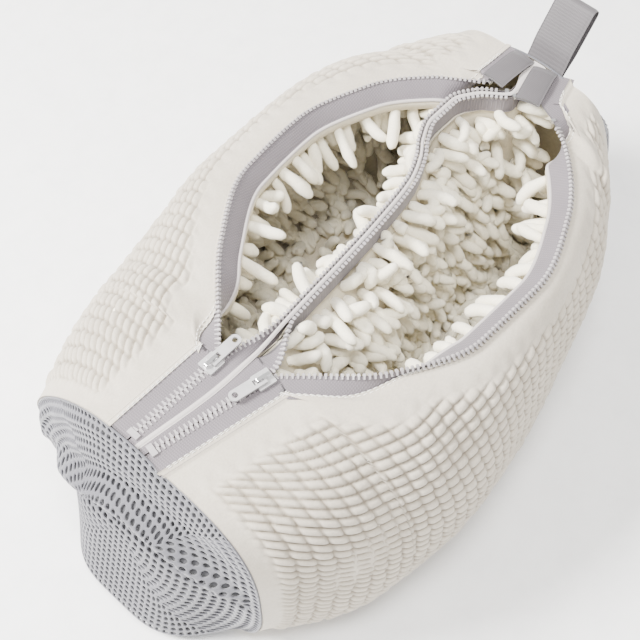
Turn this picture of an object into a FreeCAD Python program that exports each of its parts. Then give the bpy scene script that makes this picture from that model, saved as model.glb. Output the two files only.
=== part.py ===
import FreeCAD, Part
import math
import os
import Sketcher
from FreeCAD import Placement, Rotation, Vector

# Shoe bag: a soft two-compartment bag lying on its flat base with both top zips open.
# Frame: millimetres, X along the bag from the near mesh end (-X) to the hanging loop (+X),
# +Y to the left compartment, Z up, origin on the floor under the middle of the bag.
# LEFT and RIGHT are the sides of the bag seen from the near end.

LEFT = 1
RIGHT = -1
SIDE_NAME = {LEFT: "left", RIGHT: "right"}

doc = FreeCAD.newDocument("shoe_bag")
sheet = doc.addObject("Spreadsheet::Sheet", "sizes")

# ---------------------------------------------------------------- driving dimensions
SIZES = {
    # cloth
    "panel_thickness": 3.0,
    "floor_trim": 1.0,
    "edge_drop": 1.0,
    "edge_turn_drop": 2.5,
    "seam_y": -4.0,
    "seam_gap": 0.3,
    "pile_thickness": 8.0,
    "pile_clearance": 1.6,
    "divider_cloth": 1.2,
    "divider_half_gap": 0.1,
    "divider_pile_gap": 0.6,
    "divider_drop": 4.5,
    "divider_ridge_drop": 12.0,
    "divider_pile_drop": 19.0,
    "divider_pile_rise": 2.0,
    "divider_bulge": 15.0,
    "divider_foot_gap": 0.8,
    "divider_end_gap": 10.0,
    "mesh_thickness": 2.5,
    "binding_thickness": 1.0,
    "binding_width": 8.0,
    "binding_gap": 0.6,
    "binding_to_tape_gap": 1.6,
    "mesh_rim_gap": 0.4,
    "mesh_rim_inset": 1.5,
    "mesh_edge_step": 1.0,
    "base_inset": 42.0,
    # zips
    "left_zip_y": 9.0,
    "right_zip_y": -4.0,
    "right_zip_slope": -0.2,
    "tape_width": 12.0,
    "tape_thickness": 0.8,
    "tape_start": 2.2,
    "panel_to_tape_gap": 0.3,
    "teeth_to_panel_gap": 0.6,
    "row_offset": 2.0,
    "tooth_across": 2.6,
    "tooth_along": 1.6,
    "tooth_height": 2.0,
    "tooth_pitch": 3.2,
    "flare_angle": 140.0,
    "ridge_offset": 2.6,
    "strip_half": 1.4,
    "strip_narrowing": 0.5,
    "strip_widening": 2.0,
    "strip_to_tape_gap": 0.4,
    "least_tape": 0.4,
    "strip_thickness": 1.6,
    # sliders
    "left_slider_x": -113.0,
    "right_slider_x": -101.0,
    "slider_length": 11.0,
    "slider_width": 10.4,
    "plate_thickness": 1.2,
    "channel_height": 2.7,
    "flange_width": 1.0,
    "flange_drop": 0.65,
    "web_length": 3.0,
    "web_width": 1.0,
    "cap_length": 9.6,
    "cap_width": 2.0,
    "cap_height": 3.2,
    "cap_wall": 1.0,
    "pull_length": 22.0,
    "pull_width": 7.0,
    "pull_thickness": 1.4,
    "pull_gap": 0.4,
    "pull_window": 6.6,
    "pull_arm": 1.9,
    "pull_hole": 3.6,
    "stop_length": 3.5,
    "stop_width": 7.4,
    "stop_height": 3.2,
    # webbing at the far end
    "tab_width": 16.4,
    "tab_thickness": 1.6,
    "tab_start_x": 153.0,
    "tab_end_x": 184.0,
    "left_tab_y": 24.0,
    "left_tab_yaw": -4.0,
    "right_tab_y": -3.2,
    "right_tab_yaw": 15.0,
    "tab_lift": 1.7,
    "loop_width": 28.0,
    "loop_length": 43.0,
    "loop_gap": 6.0,
    "loop_thickness": 1.5,
    "loop_lean": 54.0,
    "loop_x": 190.3,
    "loop_y": 9.0,
    "loop_z": 170.0,
    # extent of the cloth along the bag
    "near_rim_x": -176.0,
    "far_rim_x": 186.0,
    "teeth_start_x": -168.0,
    "teeth_end_x": 151.0,
    "near_bulge": 38.0,
    "far_bulge": 20.0,
}

# Stations along the bag: each list is one smooth line through the named places.
STATIONS = {
    "body_x": [-176, -110, -50, 10, 70, 120, 186],
    "left_half_width": [106, 123, 133, 140, 143, 134, 86],
    "right_half_width": [86, 121, 131, 124, 110, 97, 54],
    "widest_height": [82, 86, 90, 92, 92, 90, 86],
    "top_height": [167, 167, 167, 166, 166, 168, 170],
    "left_mouth_x": [-106, -90, -50, 0, 50, 100, 132, 146, 154, 186],
    "left_mouth_y": [11, 27, 65, 93, 97, 82, 56, 36, 26, 24],
    "right_mouth_x": [-94, -86, -50, 0, 50, 100, 141, 154, 160, 186],
    "right_mouth_y": [-22.4, -31, -67, -90, -91, -75, -43, -23, -10, 0],
    "ridge_x": [-176, -112, -95, -62, -15, 25, 58, 78, 90, 106, 125, 140, 156, 186],
    "ridge_y": [2.5, -4, -4, -1, 3, 7, 12, 20, 28, 34, 34, 26, 9, 11],
}


def fill_sheet():
    row = 1
    cells = dict(SIZES)
    for name, values in STATIONS.items():
        for index, value in enumerate(values):
            cells["%s_%s" % (name, "abcdefghijklmnop"[index])] = value
    for alias, value in cells.items():
        sheet.set("A%d" % row, alias)
        sheet.set("B%d" % row, str(value))
        sheet.setAlias("B%d" % row, alias)
        row += 1
    doc.recompute()


def size(alias):
    return float(sheet.get(alias))


def stations(name):
    return [size("%s_%s" % (name, "abcdefghijklmnop"[i])) for i in range(len(STATIONS[name]))]


class SmoothLine:
    """A line without overshoot through stations (monotone cubic pieces)."""

    def __init__(self, places, values):
        self.places = places
        self.values = values
        count = len(places)
        steps = [places[i + 1] - places[i] for i in range(count - 1)]
        slopes = [(values[i + 1] - values[i]) / steps[i] for i in range(count - 1)]
        self.tangents = [slopes[0]] + [0.0] * (count - 2) + [slopes[-1]]
        for i in range(1, count - 1):
            if slopes[i - 1] * slopes[i] > 0:
                first = 2 * steps[i] + steps[i - 1]
                second = steps[i] + 2 * steps[i - 1]
                weighted = first / slopes[i - 1] + second / slopes[i]
                self.tangents[i] = (first + second) / weighted

    def at(self, place):
        place = min(max(place, self.places[0]), self.places[-1])
        i = max(j for j in range(len(self.places) - 1) if self.places[j] <= place)
        step = self.places[i + 1] - self.places[i]
        t = (place - self.places[i]) / step
        keep = 2 * t ** 3 - 3 * t ** 2 + 1
        value = keep * self.values[i] + (1 - keep) * self.values[i + 1]
        value += (t ** 3 - 2 * t ** 2 + t) * step * self.tangents[i]
        return value + (t ** 3 - t ** 2) * step * self.tangents[i + 1]


def ramp(value, low, high):
    """0 below low, 1 above high, smooth between."""
    t = min(max((value - low) / (high - low), 0.0), 1.0)
    return t * t * (3 - 2 * t)


fill_sheet()
body_x = stations("body_x")
half_width = {LEFT: SmoothLine(body_x, stations("left_half_width")),
              RIGHT: SmoothLine(body_x, stations("right_half_width"))}
widest_height = SmoothLine(body_x, stations("widest_height"))
top_height = SmoothLine(body_x, stations("top_height"))
mouth = {LEFT: SmoothLine(stations("left_mouth_x"), stations("left_mouth_y")),
         RIGHT: SmoothLine(stations("right_mouth_x"), stations("right_mouth_y"))}
ridge = SmoothLine(stations("ridge_x"), stations("ridge_y"))
near_rim_x = size("near_rim_x")
far_rim_x = size("far_rim_x")


# ---------------------------------------------------------------- lines of the zips
def zip_y(side, x):
    """Middle line of a closed zip in plan."""
    if side == LEFT:
        return size("left_zip_y")
    return size("right_zip_y") + size("right_zip_slope") * (x - near_rim_x)


def open_x(side):
    """Where the two rows of a zip part, just past the slider."""
    return stations(SIDE_NAME[side] + "_mouth_x")[0]


def outer_row_y(side, x):
    if x <= open_x(side):
        return zip_y(side, x) + side * size("row_offset")
    return mouth[side].at(x)


def inner_row_y(side, x):
    """The inner row leaves the closed zip and joins the ridge of the divider."""
    rise = ridge.at(x + 0.5) - ridge.at(x - 0.5)
    on_ridge = ridge.at(x) + side * size("ridge_offset") * math.sqrt(1 + rise ** 2)
    if x <= open_x(side):
        return zip_y(side, x) - side * size("row_offset")
    start = zip_y(side, open_x(side)) - side * size("row_offset")
    share = ramp(x, open_x(side), -60.0)
    return start * (1 - share) + on_ridge * share


def row_point(row_y, side, x):
    return Vector(x, row_y(side, x), top_height.at(x))


def row_normal(row_y, side, x):
    """Horizontal direction across a row, away from the middle of the bag."""
    step = 0.5
    rise = row_y(side, x + step) - row_y(side, x - step)
    across = Vector(-rise, 2 * step, 0)
    across.normalize()
    return across * side


def outer_flare(side, x):
    """Angle by which an outer tape has turned down and inward under its teeth."""
    turn_over = {LEFT: 42.0, RIGHT: 84.0}[side]
    opened = ramp(x, open_x(side), open_x(side) + turn_over)
    tucked = ramp(x, 136.0, 157.0)
    return size("flare_angle") * opened * (1 - tucked)


def inner_fall(side, x):
    """Angle by which an inner tape has turned from flat to hanging on the divider."""
    return 90.0 * ramp(x, open_x(side), -60.0)


def slope_factor(side, x):
    step = 0.5
    rise = outer_row_y(side, x + step) - outer_row_y(side, x - step)
    return math.sqrt(1 + (rise / (2 * step)) ** 2)


STEEPEST = 1.5


def panel_edge(side, x):
    """Where the cloth of a side panel starts, beside its outer tape."""
    flare = math.radians(min(outer_flare(side, x), 90.0))
    clear = size("tape_start") + size("teeth_to_panel_gap")
    width = size("tape_width") + size("panel_to_tape_gap")
    distance = (clear + width * math.cos(flare)) * min(slope_factor(side, x), STEEPEST)
    y = outer_row_y(side, x) + side * distance
    return y, top_height.at(x) - size("edge_drop") - size("edge_turn_drop") * math.sin(flare)


# ---------------------------------------------------------------- cross-sections
ARC_POINTS = 9


def fullness(side, x):
    """Exponent of the shoulder curve: 2 is an ellipse, 3 is boxier."""
    length = far_rim_x - near_rim_x
    share = (x - near_rim_x) / length
    if side == RIGHT:
        return 2.0 + ramp(-share, -0.35, 0.0) + 0.6 * ramp(share, 0.75, 1.0)
    return 2.2 - 0.75 * ramp(-share, -0.18, 0.0) + 0.9 * ramp(share, 0.6, 1.0)


def outline(side, x):
    """Outer cloth points from the zip edge over the shoulder down to the base."""
    edge_y, edge_z = panel_edge(side, x)
    wide_y = side * half_width[side].at(x)
    wide_z = widest_height.at(x)
    base_y = wide_y - side * size("base_inset")
    shoulder = 2.0 / fullness(side, x)
    points = []
    for i in range(ARC_POINTS):
        angle = math.pi / 2 * i / ARC_POINTS
        points.append((edge_y + (wide_y - edge_y) * math.sin(angle) ** shoulder,
                       wide_z + (edge_z - wide_z) * math.cos(angle) ** shoulder))
    for i in range(ARC_POINTS + 1):
        angle = math.pi / 2 * i / ARC_POINTS
        points.append((base_y + (wide_y - base_y) * max(math.cos(angle), 0.0) ** 0.9,
                       wide_z - (wide_z + size("floor_trim")) * math.sin(angle) ** 0.9))
    return points


def offset_inward(side, points, depth):
    """The same points moved towards the inside of the bag by a depth."""
    moved = []
    last = len(points) - 1
    for i, (y, z) in enumerate(points):
        before = points[max(i - 1, 0)]
        after = points[min(i + 1, last)]
        dy = after[0] - before[0]
        dz = after[1] - before[1]
        length = math.hypot(dy, dz)
        moved.append((y + side * dz / length * depth, z - side * dy / length * depth))
    moved[-1] = (points[-1][0], points[-1][1] + depth)
    return moved


def layer_section(side, x, start, outer_depth, inner_depth, middle_y):
    """Closed wire of a cloth layer from the zip edge to the middle of the base."""
    points = outline(side, x)
    outer = offset_inward(side, points, outer_depth) if outer_depth else points
    inner = offset_inward(side, points, inner_depth)
    outer = [Vector(x, y, z) for y, z in outer[start:]]
    inner = [Vector(x, y, z) for y, z in inner[start:]]
    outer_middle = Vector(x, side * middle_y, outer[-1].z)
    inner_middle = Vector(x, side * middle_y, inner[-1].z)
    outer_curve = Part.BSplineCurve()
    outer_curve.interpolate(outer)
    inner_curve = Part.BSplineCurve()
    inner_curve.interpolate(list(reversed(inner)))
    edges = [outer_curve.toShape(), Part.makeLine(outer[-1], outer_middle),
             Part.makeLine(outer_middle, inner_middle),
             Part.makeLine(inner_middle, inner[-1]), inner_curve.toShape(),
             Part.makeLine(inner[0], outer[0])]
    return Part.Wire(edges)


def spread(first, last, spacing):
    """Evenly spaced places from first to last, no further apart than spacing."""
    count = max(int(math.ceil((last - first) / spacing)), 1)
    return [first + (last - first) * i / count for i in range(count + 1)]


BODY_PLACES = spread(near_rim_x, far_rim_x, 13.0)
DIVIDER_PLACES = spread(near_rim_x + size("divider_end_gap"), far_rim_x - size("divider_end_gap"), 6.0)


def feature(name, shape):
    item = doc.addObject("Part::Feature", name)
    item.Label = name
    item.Shape = shape
    return item


def body_panel(side):
    """Quilted cloth of one side, from the zip over the shoulder to the seam in the base."""
    depth = size("panel_thickness") + size("floor_trim")
    seam = size("seam_y") if side == LEFT else size("seam_gap") - size("seam_y")
    wires = [layer_section(side, x, 0, 0.0, depth, seam) for x in BODY_PLACES]
    below = Part.makeBox(600, 400, 20, Vector(-300, -200, -20))
    return feature(SIDE_NAME[side] + "_body_panel", Part.makeLoft(wires, True, False).cut(below))


def largest(shape):
    return max(shape.Solids, key=lambda piece: piece.Volume)


def wall_noodles(side, panel):
    """Pile on the inside of one side panel, clear of the rims and the divider."""
    start = size("panel_thickness") + size("floor_trim") + size("pile_clearance")
    depth = start + size("pile_thickness")
    wires = [layer_section(side, x, 3, start, depth, 3.0) for x in BODY_PLACES[1:-1]]
    pile = largest(Part.makeLoft(wires, True, False).cut(panel.Shape))
    return feature(SIDE_NAME[side] + "_wall_noodles", pile)


# ---------------------------------------------------------------- divider
def divider_top(x):
    """Height of the divider cloth: close under the closed zips, lower under the ridge."""
    on_ridge = ramp(x, -112.0, -60.0) * (1 - ramp(x, 148.0, 160.0))
    return top_height.at(x) - size("divider_drop") - size("divider_ridge_drop") * on_ridge


def divider_y(x, z):
    """The divider stands on the base seam and leans over to the ridge line."""
    foot = size("panel_thickness") + size("divider_foot_gap")
    return ridge.at(x) * (z - foot) / (top_height.at(x) - foot)


def divider_layer(side):
    foot = size("panel_thickness") + size("divider_foot_gap")
    near_face = size("divider_half_gap")
    far_face = near_face + size("divider_cloth")
    wires = []
    for x in DIVIDER_PLACES:
        top = divider_top(x)
        corners = [(near_face, foot), (far_face, foot), (far_face, top), (near_face, top)]
        points = [Vector(x, divider_y(x, z) + side * d, z) for d, z in corners]
        wires.append(Part.makePolygon(points + points[:1]))
    return feature("divider_%s_layer" % SIDE_NAME[side], Part.makeLoft(wires, True, True))


def divider_noodles(side):
    """Pile on one face; on the right side it billows out in the near half."""
    back = size("divider_cloth") + size("divider_pile_gap")
    low = size("panel_thickness") + size("pile_clearance") + size("pile_thickness")
    low += size("divider_pile_rise")
    wires = []
    for x in DIVIDER_PLACES[1:-1]:
        high = top_height.at(x) - size("divider_pile_drop")
        swell = size("divider_bulge") * ramp(x, -150.0, -70.0) * (1 - ramp(x, -30.0, 60.0))
        if side == LEFT:
            swell = 0.0
        face = []
        for share in (0.0, 0.25, 0.5, 0.75, 1.0):
            z = low + (high - low) * share
            depth = back + size("pile_thickness") + swell * math.sin(math.pi * share)
            face.append(Vector(x, divider_y(x, z) + side * depth, z))
        foot_point = Vector(x, divider_y(x, low) + side * back, low)
        head_point = Vector(x, divider_y(x, high) + side * back, high)
        wires.append(Part.makePolygon(face + [head_point, foot_point, face[0]]))
    return feature("divider_%s_noodles" % SIDE_NAME[side], Part.makeLoft(wires, True, True))


def strip_half(x):
    """Half the width of the centre strip: narrow between the rows, wide at the far end."""
    on_ridge = ramp(x, -112.0, -75.0) * (1 - ramp(x, 158.0, 168.0))
    widened = size("strip_widening") * ramp(x, 160.0, 172.0)
    return size("strip_half") - size("strip_narrowing") * on_ridge + widened


def centre_strip():
    """Cream strip along the top of the divider between the two inner tapes."""
    wires = []
    thick = size("strip_thickness") / 2
    for x in spread(near_rim_x + 2, far_rim_x - 2, 6.0):
        half = strip_half(x)
        y = ridge.at(x)
        z = top_height.at(x)
        corners = [(-half, -thick), (half, -thick), (half, thick), (-half, thick)]
        points = [Vector(x, y + a, z + b) for a, b in corners]
        wires.append(Part.makePolygon(points + points[:1]))
    return feature("centre_piping", Part.makeLoft(wires, True, True))


# ---------------------------------------------------------------- zips
def tape_wire(origin, along, up, width):
    """Rectangle of a tape: it starts clear of the teeth and runs along a direction."""
    half = size("tape_thickness") / 2
    near_edge = origin + along * size("tape_start")
    far_edge = origin + along * (size("tape_start") + width)
    points = [near_edge - up * half, far_edge - up * half,
              far_edge + up * half, near_edge + up * half]
    return Part.makePolygon(points + points[:1])


def outer_tape(side, panel):
    """Tape outside the teeth, cut where it would run into the side panel."""
    wires = []
    for x in spread(near_rim_x + 2, far_rim_x - 1, 5.0):
        across = row_normal(outer_row_y, side, x)
        angle = math.radians(outer_flare(side, x))
        along = across * math.cos(angle) - Vector(0, 0, 1) * math.sin(angle)
        up = across * math.sin(angle) + Vector(0, 0, 1) * math.cos(angle)
        origin = row_point(outer_row_y, side, x)
        wires.append(tape_wire(origin, along, up, size("tape_width")))
    tape = largest(Part.makeLoft(wires, True, True).cut(panel.Shape))
    return feature("%s_outer_tape" % SIDE_NAME[side], tape)


def inner_tape_width(side, x):
    """Flat stretches reach to the centre strip; on the ridge the full width hangs down."""
    taken = size("strip_half") + size("strip_to_tape_gap")
    room = abs(inner_row_y(side, x) - ridge.at(x)) - taken
    lying = max(math.cos(math.radians(inner_fall(side, x))), 0.01)
    width = max(room / lying - size("tape_start"), size("least_tape"))
    return min(width, size("tape_width"))


def inner_tape(side):
    wires = []
    for x in spread(near_rim_x + 2, far_rim_x - size("divider_end_gap"), 4.0):
        across = row_normal(inner_row_y, side, x) * -1
        angle = math.radians(inner_fall(side, x))
        along = across * math.cos(angle) - Vector(0, 0, 1) * math.sin(angle)
        up = across * math.sin(angle) + Vector(0, 0, 1) * math.cos(angle)
        origin = row_point(inner_row_y, side, x)
        wires.append(tape_wire(origin, along, up, inner_tape_width(side, x)))
    return feature("%s_inner_tape" % SIDE_NAME[side], Part.makeLoft(wires, True, True))


def teeth(side, row_name, row_y, first_shift):
    """A row of moulded teeth, evenly spaced along its line."""
    along = size("tooth_along")
    across = size("tooth_across")
    high = size("tooth_height")
    blank = Part.makeBox(along, across, high, Vector(-along / 2, -across / 2, -high / 2))
    solids = []
    step = 0.4
    travelled = 0.0
    next_tooth = first_shift
    x = size("teeth_start_x")
    here = row_point(row_y, side, x)
    while x < size("teeth_end_x"):
        if travelled >= next_tooth:
            normal = row_normal(row_y, side, x) * side
            turn = math.degrees(math.atan2(-normal.x, normal.y))
            solids.append(blank.copy())
            solids[-1].Placement = Placement(here, Rotation(Vector(0, 0, 1), turn))
            next_tooth += size("tooth_pitch")
        x += step
        ahead = row_point(row_y, side, x)
        travelled += (ahead - here).Length
        here = ahead
    return feature("%s_%s_teeth" % (SIDE_NAME[side], row_name), Part.makeCompound(solids))


def lining_binding(side):
    """Cream bias tape that covers the raw edge of the pile cloth inside the outer tape."""
    wires = []
    thick = size("binding_thickness") / 2
    for x in spread(open_x(side) + 30, 138.0, 9.0):
        across = row_normal(outer_row_y, side, x)
        angle = math.radians(outer_flare(side, x))
        along = across * math.cos(angle) - Vector(0, 0, 1) * math.sin(angle)
        reach = size("tape_start") + size("tape_width") + size("binding_to_tape_gap")
        centre = row_point(outer_row_y, side, x) + along * reach
        corners = [(-1, -1), (1, -1), (1, 1), (-1, 1)]
        points = [centre + across * (a * thick) + Vector(0, 0, b * thick) for a, b in corners]
        wires.append(Part.makePolygon(points + points[:1]))
    return feature("%s_mouth_binding" % SIDE_NAME[side], Part.makeLoft(wires, True, True))


# ---------------------------------------------------------------- end panels
def rim_points(x, inset):
    """Closed outline of a rim, both sides, moved inward by an inset."""
    left = offset_inward(LEFT, outline(LEFT, x), inset)
    right = offset_inward(RIGHT, outline(RIGHT, x), inset)
    return left, right


def ring_wire(x, inset, scale, middle, shift_x):
    """Closed smooth ring: the rim outline scaled about a middle point and moved along X."""
    left, right = rim_points(x, inset)
    base_z = left[-1][1]
    top_z = (left[0][1] + right[0][1]) / 2
    across_base = [(left[-1][0] * share, base_z) for share in (0.66, 0.33, 0.0)]
    across_base += [(right[-1][0] * share, base_z) for share in (0.33, 0.66)]
    across_top = [((left[0][0] + right[0][0]) / 2, top_z)]
    loop = left + across_base + list(reversed(right)) + across_top
    points = []
    for y, z in loop:
        points.append(Vector(shift_x, middle[0] + (y - middle[0]) * scale,
                             max(middle[1] + (z - middle[1]) * scale, 0.6)))
    curve = Part.BSplineCurve()
    curve.interpolate(points, PeriodicFlag=True)
    return Part.Wire([curve.toShape()])


def end_mesh(name, rim_x, outward, bulge, middle):
    """Air-mesh end panel: a dish sewn to the rim, hollow towards the inside of the bag."""
    profile = [(0.0, 1.0), (0.3, 0.95), (0.6, 0.84), (0.85, 0.62), (0.97, 0.35), (1.0, 0.12)]
    thick = size("mesh_thickness")
    start = rim_x + outward * size("mesh_rim_gap")
    inset = size("mesh_rim_inset")
    step = size("mesh_edge_step")
    outer_wires = []
    inner_wires = []
    for reach, scale in profile:
        shift = start + outward * bulge * reach
        outer_wires.append(ring_wire(rim_x, inset, scale, middle, shift))
    for reach, scale in profile:
        shift = start + outward * ((bulge - thick) * reach - step * (1 - reach))
        inner_wires.append(ring_wire(rim_x, inset + thick, scale * 0.99, middle, shift))
    outer = Part.makeLoft(outer_wires, True, False)
    inner = Part.makeLoft(inner_wires, True, False)
    return feature(name, outer.cut(inner))


def rim_binding(name, rim_x, inward, panels):
    """Cloth tape round the inside of a rim over the raw seam edge."""
    outer_inset = size("panel_thickness") + size("floor_trim") + size("binding_gap")
    inner_inset = outer_inset + size("binding_thickness")
    first = rim_x + inward * 1.0
    last = first + inward * size("binding_width")
    middle = (0.0, 80.0)
    outer = Part.makeLoft([ring_wire(first, outer_inset, 1.0, middle, first),
                           ring_wire(last, outer_inset, 1.0, middle, last)], True, True)
    inner = Part.makeLoft([ring_wire(first, inner_inset, 1.0, middle, first - inward),
                           ring_wire(last, inner_inset, 1.0, middle, last + inward)], True, True)
    ring = outer.cut(inner)
    for panel in panels:
        ring = largest(ring.cut(panel.Shape))
    return feature(name, ring)


# ---------------------------------------------------------------- sketch helpers
def new_body(name):
    body = doc.addObject("PartDesign::Body", name)
    body.Label = name
    return body


def plane_of(body, role):
    return [f for f in body.Origin.OriginFeatures if f.Role == role][0]


def new_sketch(body, name, role):
    sketch = body.newObject("Sketcher::SketchObject", name)
    sketch.AttachmentSupport = [(plane_of(body, role), "")]
    sketch.MapMode = "FlatFace"
    return sketch


def add_rectangle(sketch, low, high, tie):
    """Rectangle; tie maps each side (left, right, bottom, top) to its sheet expression."""
    corners = [Vector(low[0], low[1], 0), Vector(high[0], low[1], 0),
               Vector(high[0], high[1], 0), Vector(low[0], high[1], 0)]
    first = sketch.GeometryCount
    for i in range(4):
        sketch.addGeometry(Part.LineSegment(corners[i], corners[(i + 1) % 4]), False)
    for i in range(4):
        following = first + (i + 1) % 4
        sketch.addConstraint(Sketcher.Constraint("Coincident", first + i, 2, following, 1))
    for i, kind in enumerate(["Horizontal", "Vertical", "Horizontal", "Vertical"]):
        sketch.addConstraint(Sketcher.Constraint(kind, first + i))
    places = {"left": ("DistanceX", first, 1, low[0]), "right": ("DistanceX", first, 2, high[0]),
              "bottom": ("DistanceY", first, 1, low[1]), "top": ("DistanceY", first + 2, 1, high[1])}
    for name, (kind, line, end, value) in places.items():
        index = sketch.addConstraint(Sketcher.Constraint(kind, -1, 1, line, end, value))
        sketch.setExpression("Constraints[%d]" % index, tie[name])


def pad(body, sketch, expression, midplane=False):
    item = body.newObject("PartDesign::Pad", sketch.Name + "_pad")
    item.Profile = sketch
    item.Length = 1.0
    item.setExpression("Length", expression)
    item.Midplane = midplane
    return item


def box(name, lengths, corner):
    """Part::Box whose three lengths and corner are sheet expressions."""
    item = doc.addObject("Part::Box", name)
    for prop, expression in zip(("Length", "Width", "Height"), lengths):
        item.setExpression(prop, expression)
    for axis, expression in zip("xyz", corner):
        item.setExpression("Placement.Base." + axis, expression)
    return item


# ---------------------------------------------------------------- sliders and pulls
def slider_place(side):
    """Placement of a slider: its zip's line, at the height of the teeth."""
    x = size("%s_slider_x" % SIDE_NAME[side])
    slope = 0.0 if side == LEFT else size("right_zip_slope")
    turn = math.degrees(math.atan(slope))
    return Placement(Vector(x, zip_y(side, x), top_height.at(x)), Rotation(Vector(0, 0, 1), turn))


def slider_body(side):
    """Two plates joined by a web, with flanges that hold the tapes' beads inside."""
    name = "%s_slider_body" % SIDE_NAME[side]
    half = "-sizes.slider_length / 2"
    wide = "-sizes.slider_width / 2"
    plate = ("sizes.slider_length", "sizes.slider_width", "sizes.plate_thickness")
    flange = ("sizes.slider_length", "sizes.flange_width", "sizes.flange_drop")
    right_flange = "sizes.slider_width / 2 - sizes.flange_width"
    top_flange = "sizes.channel_height / 2 - sizes.flange_drop"
    parts = [
        box(name + "_top_plate", plate, (half, wide, "sizes.channel_height / 2")),
        box(name + "_bottom_plate", plate,
            (half, wide, "-sizes.channel_height / 2 - sizes.plate_thickness")),
        box(name + "_web", ("sizes.web_length", "sizes.web_width", "sizes.channel_height"),
            ("sizes.slider_length / 2 - sizes.web_length", "-sizes.web_width / 2",
             "-sizes.channel_height / 2")),
        box(name + "_flange_a", flange, (half, wide, top_flange)),
        box(name + "_flange_b", flange, (half, right_flange, top_flange)),
        box(name + "_flange_c", flange, (half, wide, "-sizes.channel_height / 2")),
        box(name + "_flange_d", flange, (half, right_flange, "-sizes.channel_height / 2")),
    ]
    joined = doc.addObject("Part::MultiFuse", name + "_blank")
    joined.Shapes = parts
    doc.recompute()
    upright = []
    for index, edge in enumerate(joined.Shape.Edges):
        at_corner = abs(abs(edge.CenterOfMass.x) - size("slider_length") / 2) < 0.01
        at_side = abs(abs(edge.CenterOfMass.y) - size("slider_width") / 2) < 0.01
        if at_corner and at_side:
            upright.append((index + 1, 0.6, 0.6))
    rounded = doc.addObject("Part::Fillet", name)
    rounded.Base = joined
    rounded.Edges = upright
    rounded.Label = name
    rounded.Placement = slider_place(side)
    return rounded


def slider_cap(side):
    """Bright bridge over the top plate that the pull tab hangs on."""
    name = "%s_slider_cap" % SIDE_NAME[side]
    body = new_body(name)
    sketch = new_sketch(body, name + "_arch", "XZ_Plane")
    half = size("cap_length") / 2
    base = size("channel_height") / 2 + size("plate_thickness")
    top = base + size("cap_height")
    wall = size("cap_wall")
    base_text = "sizes.channel_height / 2 + sizes.plate_thickness"
    add_rectangle(sketch, (-half, base), (half, top),
                  {"left": "-sizes.cap_length / 2", "right": "sizes.cap_length / 2",
                   "bottom": base_text, "top": base_text + " + sizes.cap_height"})
    pad(body, sketch, "sizes.cap_width", True)
    opening = new_sketch(body, name + "_opening", "XZ_Plane")
    add_rectangle(opening, (wall - half, base - 0.5), (half - wall, top - wall),
                  {"left": "sizes.cap_wall - sizes.cap_length / 2",
                   "right": "sizes.cap_length / 2 - sizes.cap_wall",
                   "bottom": base_text + " - 0.5",
                   "top": base_text + " + sizes.cap_height - sizes.cap_wall"})
    pocket = body.newObject("PartDesign::Pocket", name + "_window")
    pocket.Profile = opening
    pocket.Midplane = True
    pocket.Length = 1.0
    pocket.setExpression("Length", "sizes.cap_width + 2")
    doc.recompute()
    round_over = body.newObject("PartDesign::Fillet", name + "_round")
    names = []
    for index, edge in enumerate(pocket.Shape.Edges):
        centre = edge.CenterOfMass
        if abs(centre.z - top) < 0.01 and abs(abs(centre.x) - half) < 0.01:
            names.append("Edge%d" % (index + 1))
    round_over.Base = (pocket, names)
    round_over.Radius = 1.2
    body.Placement = slider_place(side)
    return body


def pull_tab(side):
    """Tab with a window round the cap at its root and a round hole near its free end."""
    name = "%s_pull_tab" % SIDE_NAME[side]
    body = new_body(name)
    sketch = new_sketch(body, name + "_outline", "XY_Plane")
    root = -size("pull_thickness") / 2
    end = size("pull_length")
    wide = size("pull_width") / 2
    add_rectangle(sketch, (root, -wide), (end, wide),
                  {"left": "-sizes.pull_thickness / 2", "right": "sizes.pull_length",
                   "bottom": "-sizes.pull_width / 2", "top": "sizes.pull_width / 2"})
    arm = wide - size("pull_arm")
    add_rectangle(sketch, (-root, -arm), (size("pull_window"), arm),
                  {"left": "sizes.pull_thickness / 2", "right": "sizes.pull_window",
                   "bottom": "-sizes.pull_width / 2 + sizes.pull_arm",
                   "top": "sizes.pull_width / 2 - sizes.pull_arm"})
    ring = sketch.addGeometry(Part.Circle(Vector(end - wide, 0, 0), Vector(0, 0, 1),
                                          size("pull_hole") / 2), False)
    radius = sketch.addConstraint(Sketcher.Constraint("Radius", ring, size("pull_hole") / 2))
    sketch.setExpression("Constraints[%d]" % radius, "sizes.pull_hole / 2")
    place = sketch.addConstraint(Sketcher.Constraint("DistanceX", -1, 1, ring, 3, end - wide))
    sketch.setExpression("Constraints[%d]" % place, "sizes.pull_length - sizes.pull_width / 2")
    sketch.addConstraint(Sketcher.Constraint("PointOnObject", ring, 3, -1))
    plate = pad(body, sketch, "sizes.pull_thickness", True)
    doc.recompute()
    corner_round = body.newObject("PartDesign::Fillet", name + "_round")
    names = []
    for index, edge in enumerate(plate.Shape.Edges):
        centre = edge.CenterOfMass
        if abs(centre.x - end) < 0.01 and abs(abs(centre.y) - wide) < 0.01:
            names.append("Edge%d" % (index + 1))
    corner_round.Base = (plate, names)
    corner_round.Radius = wide - 0.3
    place = slider_place(side)
    turn = 0.0 if side == LEFT else 180.0
    plate_top = size("channel_height") / 2 + size("plate_thickness")
    lift = plate_top + size("pull_gap") + size("pull_thickness") / 2
    body.Placement = place.multiply(Placement(Vector(0, 0, lift), Rotation(Vector(0, 0, 1), turn)))
    return body


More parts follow.
